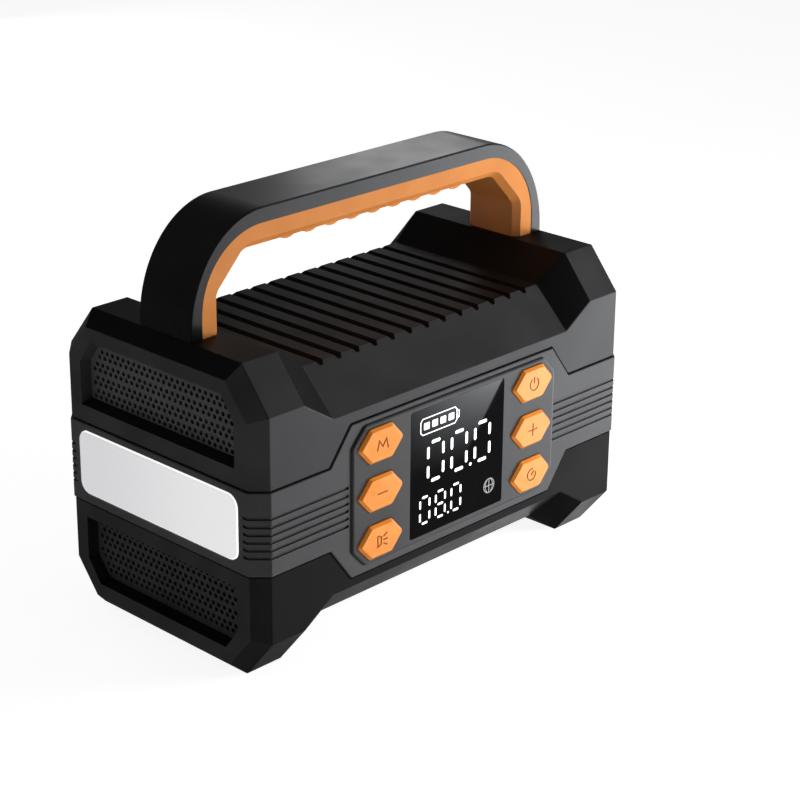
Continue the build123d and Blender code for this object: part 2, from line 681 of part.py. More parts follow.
def case_screws():
    places = foot_places(CASE_SCREW_X, CASE_SCREW_Y)
    head = 3.0
    low = CASE_SCREW_SEAT_Z - head
    return Compound([screw_z(x, y, low, CASE_SCREW_HEAD_R, head, CASE_SCREW_R, 75) for x, y in places])


def handle_screws():
    head = 2.4
    low = BODY_HEIGHT - WALL - head
    high = BODY_HEIGHT + 10
    return Compound([screw_z(x, y, low, 3.0, head, HANDLE_SCREW_R, high) for x, y in handle_screw_places()])


# ---------------------------------------------------------------- lamp
def lamp_lens():
    front_x = -LENGTH / 2 - BAND_PROUD - WINDOW_PROUD
    back_x = -LENGTH / 2 + WALL
    gap = 0.35
    lens = rounded_x(LAMP_HALF_Y - gap, LAMP_HALF_Z - gap, LAMP_CORNER - gap, front_x, back_x)
    return fillet(lens.faces().sort_by(Axis.X)[0].edges(), EDGE_RADIUS)


def lamp_board():
    back_x = -LENGTH / 2 + WALL + LINER
    return rounded_x(LAMP_HALF_Y, LAMP_HALF_Z, 2, back_x, back_x + 1.5)


def lamp_leds():
    board_x = -LENGTH / 2 + WALL + LINER
    chips = []
    for column in range(12):
        y = (column - 5.5) * 7.4
        for row in (-1, 1):
            z = LAMP_CENTRE_Z + row * 5.5
            chips.append(block(board_x - 0.8, board_x, y - 1.4, y + 1.4, z - 1.75, z + 1.75))
    return Compound(chips)


# ---------------------------------------------------------------- socket end
DOOR_PIN_X = 109.0
DOOR_PIN_Z = LAMP_CENTRE_Z - LAMP_HALF_Z + 2.3
DOOR_PIN_HALF = 50.5
DOOR_PIN_R = 0.8
DOOR_BARREL_R = 1.6
DOOR_CORNER = 1.7
DOOR_GAP = 0.35
PORT_X = LENGTH / 2 - WALL - LINER      # outer face of the port plate
SOCKET_HALF_Y = 13.0
SOCKET_HALF_Z = 7.0
CONTACT_Y = 6.4
CONTACT_REACH = 21.0       # how far the contacts reach behind the port plate's face
USB_A_Y = 36.5
USB_C_Y = -36.5


def port_door():
    outer_x = LENGTH / 2 + BAND_PROUD + WINDOW_PROUD
    door = rounded_x(LAMP_HALF_Y - DOOR_GAP, LAMP_HALF_Z - DOOR_GAP, DOOR_CORNER, outer_x - 2.0, outer_x)
    door &= block(0, LENGTH, -DEPTH, DEPTH, DOOR_PIN_Z, BODY_HEIGHT)
    for side in (-1, 1):
        low_y, high_y = sorted((side * 46.0, side * 50.0))
        door -= block(0, LENGTH, low_y, high_y, 0, DOOR_PIN_Z + 2.4)
    door += rod_y(DOOR_BARREL_R, -45.8, 45.8, DOOR_PIN_X, DOOR_PIN_Z)
    door -= rod_y(DOOR_PIN_R + 0.06, -DEPTH, DEPTH, DOOR_PIN_X, DOOR_PIN_Z)
    # finger scoop in the middle of the upper edge
    scoop_z = LAMP_CENTRE_Z + LAMP_HALF_Z
    door -= Pos(outer_x + 4.6, 0, scoop_z - 2) * Rot(90, 0, 0) * Cylinder(6, 22)
    return door


def door_pin():
    return rod_y(DOOR_PIN_R, -DOOR_PIN_HALF + 0.2, DOOR_PIN_HALF - 0.2, DOOR_PIN_X, DOOR_PIN_Z)


def socket_cutouts(clearance):
    """Outlines of the sockets in the port plate, as solids along X."""
    low, high = PORT_X - 10, PORT_X + 10
    z = LAMP_CENTRE_Z
    cut = [block(low, high, -SOCKET_HALF_Y - clearance, SOCKET_HALF_Y + clearance,
                 z - SOCKET_HALF_Z - clearance, z + SOCKET_HALF_Z + clearance)]
    for dz in (-6, 6):
        cut.append(block(low, high, USB_A_Y - 7 - clearance, USB_A_Y + 7 + clearance,
                         z + dz - 3 - clearance, z + dz + 3 + clearance))
    cut.append(block(low, high, USB_C_Y - 5 - clearance, USB_C_Y + 5 + clearance,
                     z - 2 - clearance, z + 2 + clearance))
    return cut


def port_plate():
    plate = rounded_x(LAMP_HALF_Y + 1, LAMP_HALF_Z + 1, 3, PORT_X - 1.6, PORT_X)
    for cut in socket_cutouts(0.1):
        plate -= cut
    return plate


def jump_socket():
    z = LAMP_CENTRE_Z
    low_z, high_z = z - SOCKET_HALF_Z, z + SOCKET_HALF_Z
    body = block(PORT_X - 1.6, PORT_X + 1, -SOCKET_HALF_Y, SOCKET_HALF_Y, low_z, high_z)
    body = chamfer(body.edges().filter_by(Axis.X), 2)
    body += block(PORT_X - 3.6, PORT_X - 1.6, -15.5, 15.5, z - 9.5, z + 9.5)
    body += block(PORT_X - 19, PORT_X - 3.6, -12.5, 12.5, z - 6.5, z + 6.5)
    body -= block(PORT_X - 17, PORT_X + 2, -10.8, 10.8, z - 4.8, z + 4.8)
    for side in (-1, 1):
        body -= rod_x(2.5, PORT_X - 20, PORT_X, side * CONTACT_Y, z)
    return body


def jump_contacts():
    pins = []
    for side in (-1, 1):
        pin = rod_x(2.5, PORT_X - CONTACT_REACH, PORT_X - 3, side * CONTACT_Y, LAMP_CENTRE_Z)
        pin -= rod_x(1.4, PORT_X - 12, PORT_X, side * CONTACT_Y, LAMP_CENTRE_Z)
        pins.append(pin)
    return Compound(pins)


def metal_port(y, z, half_y, half_z, depth, tongue_half_y, tongue_half_z):
    front = PORT_X + 0.3
    shell = block(front - depth, front, y - half_y, y + half_y, z - half_z, z + half_z)
    in_y, in_z = half_y - 0.4, half_z - 0.4
    shell -= block(front - depth + 1, front + 1, y - in_y, y + in_y, z - in_z, z + in_z)
    tongue = block(front - depth + 0.5, front - 1, y - tongue_half_y, y + tongue_half_y,
                   z - tongue_half_z, z + tongue_half_z)
    return shell + tongue


def usb_a_ports():
    ports = [metal_port(USB_A_Y, LAMP_CENTRE_Z + dz, 7, 3, 14, 5.4, 0.9) for dz in (-6, 6)]
    return Compound(ports)


def usb_c_port():
    return metal_port(USB_C_Y, LAMP_CENTRE_Z, 5, 2, 9, 3.2, 0.4)


# ---------------------------------------------------------------- battery and boards
BATTERY_Y = 20.5
CELL_HALF_Y = 19.5
FLOOR_Z = TROUGH_DROP + WALL + 0.2      # just above the lower shell's inner floor
CELL_HEIGHT = 9.6
CELL_PITCH = 10.1
MAIN_BOARD_Z = 62.0
JUMP_LEAD_R = 2.5


def battery_cell(index):
    low = FLOOR_Z + 2.0 + index * CELL_PITCH
    cell = block(-60, 60, BATTERY_Y - CELL_HALF_Y, BATTERY_Y + CELL_HALF_Y, low, low + CELL_HEIGHT)
    cell = fillet(cell.edges().filter_by(Axis.X), 2)
    tab = block(-66, -59.9, BATTERY_Y - 15, BATTERY_Y - 5, low + 4.5, low + 4.9)
    return cell + tab + Pos(0, 20, 0) * tab


def battery_tray():
    low = FLOOR_Z
    inner_y = CELL_HALF_Y + 0.3
    outer_y = inner_y + 1.8
    tray = block(-72, 72, BATTERY_Y - outer_y, BATTERY_Y + outer_y, low, low + 2)
    tray += block(-68.5, 68.5, BATTERY_Y - outer_y, BATTERY_Y + outer_y, low, low + 16)
    tray -= block(-66.5, 66.5, BATTERY_Y - inner_y, BATTERY_Y + inner_y, low + 2, low + 20)
    for x, y in tray_posts():
        tray += rod_z(2.4, low, MAIN_BOARD_Z, x, y)
    return tray & pack_form(WALL + 0.2)


def tray_posts():
    return [(x, BATTERY_Y + dy) for x in (-69.5, 69.5) for dy in (-17, 17)]


def main_board():
    board = block(-72, 72, BATTERY_Y - 20, BATTERY_Y + 24, MAIN_BOARD_Z, MAIN_BOARD_Z + 1.6)
    parts = [(-60, 10, 14, 10, 12), (-40, 10, 12, 12, 9), (44, 34, 20, 12, 8), (-48, 34, 18, 14, 7)]
    for x, y, size_x, size_y, height in parts:
        top = MAIN_BOARD_Z + 1.5 + height
        board += block(x - size_x / 2, x + size_x / 2, y - size_y / 2, y + size_y / 2, MAIN_BOARD_Z + 1, top)
    return board


def heat_sink():
    low = MAIN_BOARD_Z + 1.6
    sink = block(-22, 28, 10, 42, low, low + 3)
    for index in range(9):
        x = -21 + index * 6
        sink += block(x - 0.9, x + 0.9, 10, 42, low + 2, low + 16)
    return sink


def lead(points, radius, bend):
    """Round insulated cable along straight runs joined by arcs."""
    path = FilletPolyline(*points, radius=bend)
    start = points[0]
    toward = Vector(*points[1]) - Vector(*start)
    return sweep(Plane(origin=start, z_dir=toward) * Circle(radius), path)


def jump_lead(y, turn_x, board_y):
    """Lead from a jump contact along the board's top face to its solder point."""
    start = (PORT_X - CONTACT_REACH, y, LAMP_CENTRE_Z)
    z = MAIN_BOARD_Z + 1.6 + JUMP_LEAD_R + 0.2
    return lead([start, (turn_x, y, z), (turn_x, board_y, z), (46, board_y, z)], JUMP_LEAD_R, 5)


# ---------------------------------------------------------------- inflator
PINION_R = GEAR_MODULE * PINION_TEETH / 2
CRANK_R = GEAR_MODULE * CRANK_TEETH / 2
CRANK_Z = MOTOR_Z + PINION_R + CRANK_R
OUTLET_X = 50.0
OUTLET_Z = 76.0
OUTLET_NECK_R = 5.2
SHELF_Z = 80.0


def gear(teeth, phase, width):
    """Spur gear about X at the origin with involute flanks. phase is a tooth's angle from +Y."""
    pressure = math.radians(20)
    backlash = 0.14
    pitch_r = GEAR_MODULE * teeth / 2
    base_r = pitch_r * math.cos(pressure)
    root_r = pitch_r - 1.25 * GEAR_MODULE
    tip_r = pitch_r + 0.95 * GEAR_MODULE
    start_r = max(base_r, root_r + 0.05)
    half_tooth = math.pi / (2 * teeth) - backlash / 2 / pitch_r + math.tan(pressure) - pressure
    flank = []
    steps = 5
    for step in range(steps + 1):
        r = start_r + (tip_r - start_r) * step / steps
        angle = math.acos(min(1, base_r / r))
        flank.append((r, half_tooth - math.tan(angle) + angle))
    profile = [(root_r, flank[0][1] + 0.01)] + flank
    points = []
    for tooth in range(teeth):
        centre = math.radians(phase) + 2 * math.pi * tooth / teeth
        rising = [(r, centre - angle) for r, angle in profile]
        falling = [(r, centre + angle) for r, angle in reversed(profile)]
        points += [(r * math.cos(a), r * math.sin(a)) for r, a in rising + falling]
    return prism_x(points, 0, width)


def pinion_gear():
    wheel = Pos(-4.6, PUMP_Y, MOTOR_Z) * gear(PINION_TEETH, 90, 8)
    return wheel - rod_x(SHAFT_R, -10, 10, PUMP_Y, MOTOR_Z)


def crank_gear():
    half_pitch = 180 / CRANK_TEETH
    wheel = Pos(-3.6, PUMP_Y, CRANK_Z) * gear(CRANK_TEETH, -90 + half_pitch, 6)
    wheel -= rod_x(AXLE_R + 0.06, -10, 10, PUMP_Y, CRANK_Z)
    for index in range(6):
        angle = math.radians(30 + 60 * index)
        y = PUMP_Y + 11.5 * math.cos(angle)
        z = CRANK_Z + 11.5 * math.sin(angle)
        wheel -= rod_x(3.4, -10, 10, y, z)
    wheel += rod_x(2.0, 2.3, 5.7, PUMP_Y, CRANK_Z + CRANK_THROW)
    return wheel


def crank_axle():
    return rod_x(AXLE_R, -8, 2.4, PUMP_Y, CRANK_Z) + rod_x(AXLE_R + 2, -9.5, -8, PUMP_Y, CRANK_Z)


def piston_rod():
    pin_z = CRANK_Z + CRANK_THROW
    piston_low = 96.6
    low_x, high_x = CYLINDER_X - 2, CYLINDER_X + 2
    rod = rod_x(5.2, low_x, high_x, PUMP_Y, pin_z)
    rod += block(low_x, high_x, PUMP_Y - 3.2, PUMP_Y + 3.2, pin_z, piston_low + 1)
    rod += rod_z(CYLINDER_BORE_R - 0.08, piston_low, piston_low + 5.5, CYLINDER_X, PUMP_Y)
    return rod - rod_x(2.3, low_x - 1, high_x + 1, PUMP_Y, pin_z)


def cylinder():
    sleeve = rod_z(13.8, SHELF_Z + 3, 105, CYLINDER_X, PUMP_Y)
    for index in range(5):
        z = SHELF_Z + 5 + index * 4.2
        sleeve += rod_z(16.5, z, z + 1.6, CYLINDER_X, PUMP_Y)
    return sleeve - rod_z(CYLINDER_BORE_R, SHELF_Z, 110, CYLINDER_X, PUMP_Y)


def cylinder_head():
    head = rod_z(16.5, 105, 112, CYLINDER_X, PUMP_Y)
    head += rod_x(3.2, CYLINDER_X + 10, CYLINDER_X + 20, PUMP_Y, 108.5)
    head -= rod_x(1.6, CYLINDER_X + 4, CYLINDER_X + 25, PUMP_Y, 108.5)
    return head - rod_z(1.6, 104, 108.5, CYLINDER_X + 6, PUMP_Y)


def gear_frame():
    low_z = FLOOR_Z
    frame = block(-8, -5, PUMP_Y - 20, PUMP_Y + 20, low_z, SHELF_Z + 3)
    frame += block(-8, CYLINDER_X + 17, PUMP_Y - 20, PUMP_Y + 20, SHELF_Z, SHELF_Z + 3)
    frame += block(-8, 26, PUMP_Y - 20, PUMP_Y + 20, low_z, low_z + 2.6)
    for y in (PUMP_Y - 18.5, PUMP_Y + 18.5):
        frame += block(6.5, 14, y - 1.5, y + 1.5, low_z, SHELF_Z + 3)
    frame -= rod_z(12.6, SHELF_Z - 1, SHELF_Z + 4, CYLINDER_X, PUMP_Y)
    frame -= rod_x(2.6, -10, 0, PUMP_Y, MOTOR_Z)
    frame -= rod_x(AXLE_R, -10, 0, PUMP_Y, CRANK_Z)
    for x, y in pump_screw_places():
        frame -= rod_z(1.7, low_z - 1, low_z + 4, x, y)
    return frame & pack_form(WALL + 0.2)


def pump_screw_places():
    return [(20, PUMP_Y - 12), (20, PUMP_Y + 12)]


def pump_screws():
    top = FLOOR_Z + 2.6
    screws = []
    for x, y in pump_screw_places():
        screws.append(rod_z(1.6, top - 2.6, top, x, y) + rod_z(3, top, top + 2, x, y))
    return Compound(screws)


def motor_can():
    can = rod_x(MOTOR_R, -58, -8, PUMP_Y, MOTOR_Z) - rod_x(MOTOR_R - 1.5, -59, -10, PUMP_Y, MOTOR_Z)
    return can - rod_x(SHAFT_R + 0.06, -12, 0, PUMP_Y, MOTOR_Z)


def motor_cap():
    cap = rod_x(MOTOR_R, -61, -58, PUMP_Y, MOTOR_Z) + rod_x(5, -63, -61, PUMP_Y, MOTOR_Z)
    return cap - rod_x(SHAFT_R + 0.06, -70, -50, PUMP_Y, MOTOR_Z)


def motor_magnets():
    tube = rod_x(MOTOR_R - 1.55, -50, -18, PUMP_Y, MOTOR_Z) - rod_x(14.1, -51, -17, PUMP_Y, MOTOR_Z)
    gaps = block(-60, 0, PUMP_Y - 30, PUMP_Y + 30, MOTOR_Z - 4, MOTOR_Z + 4)
    return Compound((tube - gaps).solids())


def motor_shaft():
    return rod_x(SHAFT_R, -73, 3.4, PUMP_Y, MOTOR_Z)


def motor_armature():
    core = rod_x(13.6, -48, -20, PUMP_Y, MOTOR_Z)
    for index in range(5):
        angle = math.radians(72 * index)
        y = PUMP_Y + 12.4 * math.cos(angle)
        z = MOTOR_Z + 12.4 * math.sin(angle)
        core -= rod_x(2.6, -50, -18, y, z)
    core += rod_x(5, -55, -48, PUMP_Y, MOTOR_Z)
    return core - rod_x(SHAFT_R, -60, 0, PUMP_Y, MOTOR_Z)


def cooling_fan():
    fan = rod_x(6, -72, -65, PUMP_Y, MOTOR_Z)
    for index in range(7):
        blade = Pos(0, 11, 0) * Rot(0, 38, 0) * Box(7, 14, 1.2)
        fan += Pos(-68.5, PUMP_Y, MOTOR_Z) * Rot(360 / 7 * index, 0, 0) * blade
    return fan - rod_x(SHAFT_R, -80, -60, PUMP_Y, MOTOR_Z)


def air_outlet():
    back_y = DEPTH / 2 + BAND_PROUD
    body = rod_y(OUTLET_NECK_R, back_y - 14, back_y + OUTLET_PROUD, OUTLET_X, OUTLET_Z)
    body += rod_y(7.5, back_y - 7.5, back_y - 5.2, OUTLET_X, OUTLET_Z)
    body -= rod_y(2.5, back_y - 11, back_y + 2, OUTLET_X, OUTLET_Z)
    return body - rod_y(1.5, back_y - 20, back_y, OUTLET_X, OUTLET_Z)


def air_pipe():
    start = (CYLINDER_X + 20, PUMP_Y, 108.5)
    end = (OUTLET_X, DEPTH / 2 + BAND_PROUD - 14, OUTLET_Z)
    points = [start, (OUTLET_X, PUMP_Y, 108.5), (OUTLET_X, 30, 108.5), (OUTLET_X, 30, OUTLET_Z), end]
    return lead(points, 2.6, 5)


# ---------------------------------------------------------------- write every part
BUTTON_KINDS = ("mode", "minus", "light", "power", "plus", "air")

save("upper_shell", upper_shell())
save("middle_band", middle_band())
save("lower_shell", lower_shell())
save("foot_pads", Compound([foot_pad(x, y, 0) for x, y in foot_places(PAD_X, PAD_Y)]))
for side, end in ((-1, "left"), (1, "right")):
    save(f"grille_upper_{end}", grille(side, True))
    save(f"grille_lower_{end}", grille(side, False))

save("control_plate", control_plate())
save("display_glass", display_glass())
save("display_module", display_module())
save("keypad_mat", keypad_mat())
save("control_board", control_board())
for kind, (x, z) in zip(BUTTON_KINDS, button_places()):
    save(f"button_{kind}", button(kind, x, z))

save("handle_cover", handle_cover())
save("handle_grip", handle_grip())

save("lamp_lens", lamp_lens())
save("lamp_board", lamp_board())
save("lamp_leds", lamp_leds())

save("port_door", port_door())
save("door_pin", door_pin())
save("port_plate", port_plate())
save("jump_socket", jump_socket())
save("jump_contacts", jump_contacts())
save("usb_a_ports", usb_a_ports())
save("usb_c_port", usb_c_port())

for index in range(4):
    save(f"battery_cell_{index + 1}", battery_cell(index))
save("battery_tray", battery_tray())
save("main_board", main_board())
save("heat_sink", heat_sink())
save("lead_positive", jump_lead(CONTACT_Y, 76, 22))
save("lead_negative", jump_lead(-CONTACT_Y, 68, 10))

save("motor_can", motor_can())
save("motor_cap", motor_cap())
save("motor_magnets", motor_magnets())
save("motor_shaft", motor_shaft())
save("motor_armature", motor_armature())
save("cooling_fan", cooling_fan())
save("pinion_gear", pinion_gear())
save("crank_gear", crank_gear())
save("crank_axle", crank_axle())
save("gear_frame", gear_frame())
save("piston_rod", piston_rod())
save("cylinder", cylinder())
save("cylinder_head", cylinder_head())
save("air_pipe", air_pipe())
save("air_outlet", air_outlet())

save("case_screws", case_screws())
save("handle_screws", handle_screws())
save("board_screws", board_screws())
save("pump_screws", pump_screws())
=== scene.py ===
import math

import bmesh
import bpy
from mathutils import Euler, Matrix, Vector

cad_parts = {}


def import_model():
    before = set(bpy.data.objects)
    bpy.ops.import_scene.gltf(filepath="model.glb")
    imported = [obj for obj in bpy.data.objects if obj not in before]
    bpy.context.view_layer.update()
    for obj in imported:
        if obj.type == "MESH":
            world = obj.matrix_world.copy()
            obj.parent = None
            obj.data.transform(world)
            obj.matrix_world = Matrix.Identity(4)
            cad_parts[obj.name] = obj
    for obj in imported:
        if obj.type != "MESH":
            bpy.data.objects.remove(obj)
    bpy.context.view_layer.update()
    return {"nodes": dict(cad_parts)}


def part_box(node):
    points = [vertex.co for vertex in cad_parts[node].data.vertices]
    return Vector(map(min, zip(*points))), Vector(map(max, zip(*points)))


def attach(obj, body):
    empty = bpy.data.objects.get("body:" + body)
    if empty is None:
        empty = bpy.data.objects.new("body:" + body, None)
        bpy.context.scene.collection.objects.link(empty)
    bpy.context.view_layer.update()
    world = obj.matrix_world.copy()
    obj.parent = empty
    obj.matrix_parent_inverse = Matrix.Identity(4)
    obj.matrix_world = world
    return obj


# Looks of a portable jump starter pack. Metres, +Z up, -Y is the front with the display.

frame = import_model()
nodes = frame["nodes"]
MM = 0.001

glass_low, glass_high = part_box("display_glass")
BUTTONS = ("mode", "minus", "light", "power", "plus", "air")
BATTERY_CELLS = 4

# The viewpoint: AZIMUTH turns from the front (-Y) towards the lamp end, ELEVATION is the angle above level.
AZIMUTH, ELEVATION, ROLL = math.radians(-45.41), math.radians(20.74), math.radians(0.19)
AIM = Vector((0.0077, 0.0017, 0.0930))
DISTANCE = 0.9272
AWAY = Vector((
    math.sin(AZIMUTH) * math.cos(ELEVATION), -math.cos(AZIMUTH) * math.cos(ELEVATION), math.sin(ELEVATION)
))
EYE = AIM + AWAY * DISTANCE
LENS_MM = 97.0
LENS_SHIFT = (0.0448, -0.0534)


# ---------------------------------------------------------------- node helpers
MIX_COLOURS_IN = (6, 7)     # the mix node's sockets for colours, which come after those for its other kinds
MIX_COLOUR_OUT = 2


class Shader:
    """A material's node tree, with short calls for the nodes used here."""

    def __init__(self, name):
        self.material = bpy.data.materials.new(name)
        self.material.use_nodes = True
        self.tree = self.material.node_tree
        self.surface = self.tree.nodes["Principled BSDF"]
        self.place = self.node("ShaderNodeTexCoord").outputs["Object"]

    def node(self, kind, **settings):
        made = self.tree.nodes.new(kind)
        for key, value in settings.items():
            setattr(made, key, value)
        return made

    def link(self, source, target):
        self.tree.links.new(source, target)

    def feed(self, target, value):
        if isinstance(value, bpy.types.NodeSocket):
            self.link(value, target)
        else:
            target.default_value = value

    def noise(self, scale, detail=3.0, roughness=0.5, stretch=None):
        """Noise from 0 to 1, with its scale in cells per metre."""
        texture = self.node("ShaderNodeTexNoise")
        texture.inputs["Scale"].default_value = scale
        texture.inputs["Detail"].default_value = detail
        texture.inputs["Roughness"].default_value = roughness
        place = self.place
        if stretch:
            mapping = self.node("ShaderNodeMapping")
            mapping.inputs["Scale"].default_value = stretch
            self.link(place, mapping.inputs["Vector"])
            place = mapping.outputs["Vector"]
        self.link(place, texture.inputs["Vector"])
        return texture.outputs["Fac"]

    def math(self, operation, *values):
        made = self.node("ShaderNodeMath", operation=operation)
        for socket, value in zip(made.inputs, values):
            self.feed(socket, value)
        return made.outputs[0]

    def ramp(self, value, low_in, high_in, low_out, high_out):
        """Maps low_in..high_in onto low_out..high_out, held flat outside."""
        made = self.node("ShaderNodeMapRange", interpolation_type="SMOOTHSTEP")
        for name, number in (
            ("From Min", low_in), ("From Max", high_in), ("To Min", low_out), ("To Max", high_out)
        ):
            made.inputs[name].default_value = number
        self.feed(made.inputs["Value"], value)
        return made.outputs["Result"]

    def mix(self, factor, first, second):
        made = self.node("ShaderNodeMix", data_type="RGBA")
        self.feed(made.inputs["Factor"], factor)
        for number, colour in zip(MIX_COLOURS_IN, (first, second)):
            linked = isinstance(colour, bpy.types.NodeSocket)
            self.feed(made.inputs[number], colour if linked else (*colour, 1.0))
        return made.outputs[MIX_COLOUR_OUT]

    def mottle(self, noise, colour, light):
        """A colour that goes over into a lighter one with the noise."""
        return self.mix(self.ramp(noise, 0.3, 0.7, 0.0, 1.0), colour, light)

    def patchy(self, noise, smooth, rough):
        """A roughness that varies with the noise."""
        return self.ramp(noise, 0.25, 0.75, smooth, rough)

    def split(self, vector):
        made = self.node("ShaderNodeSeparateXYZ")
        self.link(vector, made.inputs[0])
        return made.outputs

    def position(self):
        """X, Y and Z of the place on the node, in the frame's axes."""
        return self.split(self.place)

    def facing(self):
        """X, Y and Z of the surface's normal, in the frame's axes; used on parts that don't move."""
        return self.split(self.node("ShaderNodeNewGeometry").outputs["Normal"])

    def bump(self, *layers):
        """Each layer is a noise, its strength and the height of its relief in millimetres."""
        normal = None
        for noise, strength, height in layers:
            made = self.node("ShaderNodeBump")
            made.inputs["Strength"].default_value = strength
            made.inputs["Distance"].default_value = height * MM
            self.link(noise, made.inputs["Height"])
            if normal:
                self.link(normal, made.inputs["Normal"])
            normal = made.outputs["Normal"]
        self.link(normal, self.surface.inputs["Normal"])

    def set(self, **values):
        for key, value in values.items():
            self.feed(self.surface.inputs[key.replace("_", " ")], value)


def rgb(red, green, blue):
    """sRGB from 0 to 255 as scene-linear colour."""
    def linear(channel):
        share = channel / 255
        return share / 12.92 if share <= 0.04045 else ((share + 0.055) / 1.055) ** 2.4
    return linear(red), linear(green), linear(blue)


# ---------------------------------------------------------------- materials
GRAIN_SCALE = 2600          # cells per metre of the moulds' spark texture
CLOUD_SCALE = 45            # and of the broad, faint unevenness over a whole moulding


def moulded(name, colour, light, rough, specular=0.5, grain=0.25):
    """Moulded plastic: cloudy colour, patchy gloss and a fine spark-eroded grain."""
    shader = Shader(name)
    cloud = shader.noise(CLOUD_SCALE, detail=4)
    speck = shader.noise(GRAIN_SCALE / 3, detail=2)
    grains = shader.noise(GRAIN_SCALE, detail=2, roughness=0.6)
    blend = shader.math("ADD", shader.math("MULTIPLY", cloud, 0.7), shader.math("MULTIPLY", speck, 0.3))
    shader.set(
        Base_Color=shader.mottle(blend, colour, light),
        Roughness=shader.patchy(blend, rough - 0.04, rough + 0.05),
        Specular_IOR_Level=specular,
    )
    shader.bump((grains, grain, 0.04), (cloud, 0.05, 0.2))
    return shader.material


def paint(material, *names):
    """Gives the material to every slot of the named nodes."""
    for name in names:
        if not nodes[name].material_slots:
            nodes[name].data.materials.append(material)
        for slot in nodes[name].material_slots:
            slot.material = material


def shell_material():
    """Near-black shell with painted shade: its tops and end slopes get a darker colour, and are duller there
    too.
    """
    shader = Shader("shell_black")
    cloud = shader.noise(CLOUD_SCALE, detail=4)
    grains = shader.noise(GRAIN_SCALE, detail=2, roughness=0.6)
    facing = shader.facing()
    endward, up = shader.math("ABSOLUTE", facing["X"]), facing["Z"]
    sloping = shader.ramp(endward, 0.3, 0.4, 0.0, 1.0)
    slopes = shader.math("MULTIPLY", sloping, shader.ramp(up, 0.5, 0.55, 0.0, 1.0))
    # painted shade: upward faces and the end slopes take the darker colour below, together with a higher
    # roughness
    shade_and_dull = shader.math("MAXIMUM", shader.ramp(up, 0.8, 0.97, 0.0, 1.0), slopes)
    plain = shader.mottle(cloud, rgb(47, 47, 48), rgb(54, 54, 55))
    painted_shade_black = shader.mottle(cloud, rgb(14, 14, 15), rgb(19, 19, 20))
    roughness = shader.ramp(shade_and_dull, 0, 1, 0.42, 0.62)
    shader.set(
        Base_Color=shader.mix(shade_and_dull, plain, painted_shade_black),
        Roughness=shader.math("ADD", roughness, shader.patchy(cloud, -0.03, 0.04)),
        Specular_IOR_Level=0.3,
    )
    shader.bump((grains, 0.22, 0.04), (cloud, 0.05, 0.2))
    return shader.material


def lower_shell_material():
    """Black lower shell, with painted light making its two end faces a little greyer."""
    shader = Shader("lower_shell_black")
    cloud = shader.noise(CLOUD_SCALE, detail=4)
    grains = shader.noise(GRAIN_SCALE, detail=2, roughness=0.6)
    # painted light: faces towards the ends get the lighter grey below
    painted_end_light = shader.ramp(shader.math("ABSOLUTE", shader.facing()["X"]), 0.6, 0.9, 0.0, 1.0)
    sides = shader.mottle(cloud, rgb(20, 19, 20), rgb(27, 25, 26))
    ends = shader.mottle(cloud, rgb(43, 42, 43), rgb(50, 49, 50))
    shader.set(
        Base_Color=shader.mix(painted_end_light, sides, ends),
        Roughness=shader.patchy(cloud, 0.44, 0.52),
        Specular_IOR_Level=0.07,
    )
    shader.bump((grains, 0.22, 0.04), (cloud, 0.05, 0.2))
    return shader.material


def cover_material():
    """Handle cover: satin, with painted light making its upward faces greyer and painted shade making its
    sides darker.
    """
    shader = Shader("handle_black")
    cloud = shader.noise(CLOUD_SCALE, detail=4)
    grains = shader.noise(GRAIN_SCALE, detail=2, roughness=0.6)
    # painted light and shade: upward faces get the lighter grey, the sides the darker one
    painted_top_light = shader.ramp(shader.facing()["Z"], 0.3, 0.9, 0.0, 1.0)
    sides = shader.mottle(cloud, rgb(15, 15, 16), rgb(20, 20, 21))
    top = shader.mottle(cloud, rgb(30, 30, 31), rgb(37, 37, 38))
    roughness = shader.ramp(painted_top_light, 0, 1, 0.3, 0.34)
    shader.set(
        Base_Color=shader.mix(painted_top_light, sides, top),
        Roughness=shader.math("ADD", roughness, shader.patchy(cloud, -0.03, 0.03)),
        Specular_IOR_Level=0.4,
    )
    shader.bump((grains, 0.12, 0.04), (cloud, 0.05, 0.2))
    return shader.material


def grip_material():
    """Orange soft-touch grip: matte, with faint darker patches where hands have held it."""
    shader = Shader("grip_orange")
    cloud = shader.noise(60, detail=4)
    grains = shader.noise(GRAIN_SCALE * 1.2, detail=2, roughness=0.65)
    dirt = shader.ramp(shader.noise(18, detail=5), 0.45, 0.75, 0.0, 0.25)
    orange = shader.mottle(cloud, rgb(191, 119, 58), rgb(200, 128, 66))
    shader.set(
        Base_Color=shader.mix(dirt, orange, rgb(178, 107, 50)),
        Roughness=shader.patchy(cloud, 0.44, 0.54),
        Specular_IOR_Level=0.3,
    )
    shader.bump((grains, 0.3, 0.05), (cloud, 0.06, 0.2))
    return shader.material


SIGN_REACH = 4.2 * MM       # half the side of the square round a key's middle that holds its sign
SIGN_SUNK = 0.05 * MM       # what lies deeper than this behind a key's face is engraved


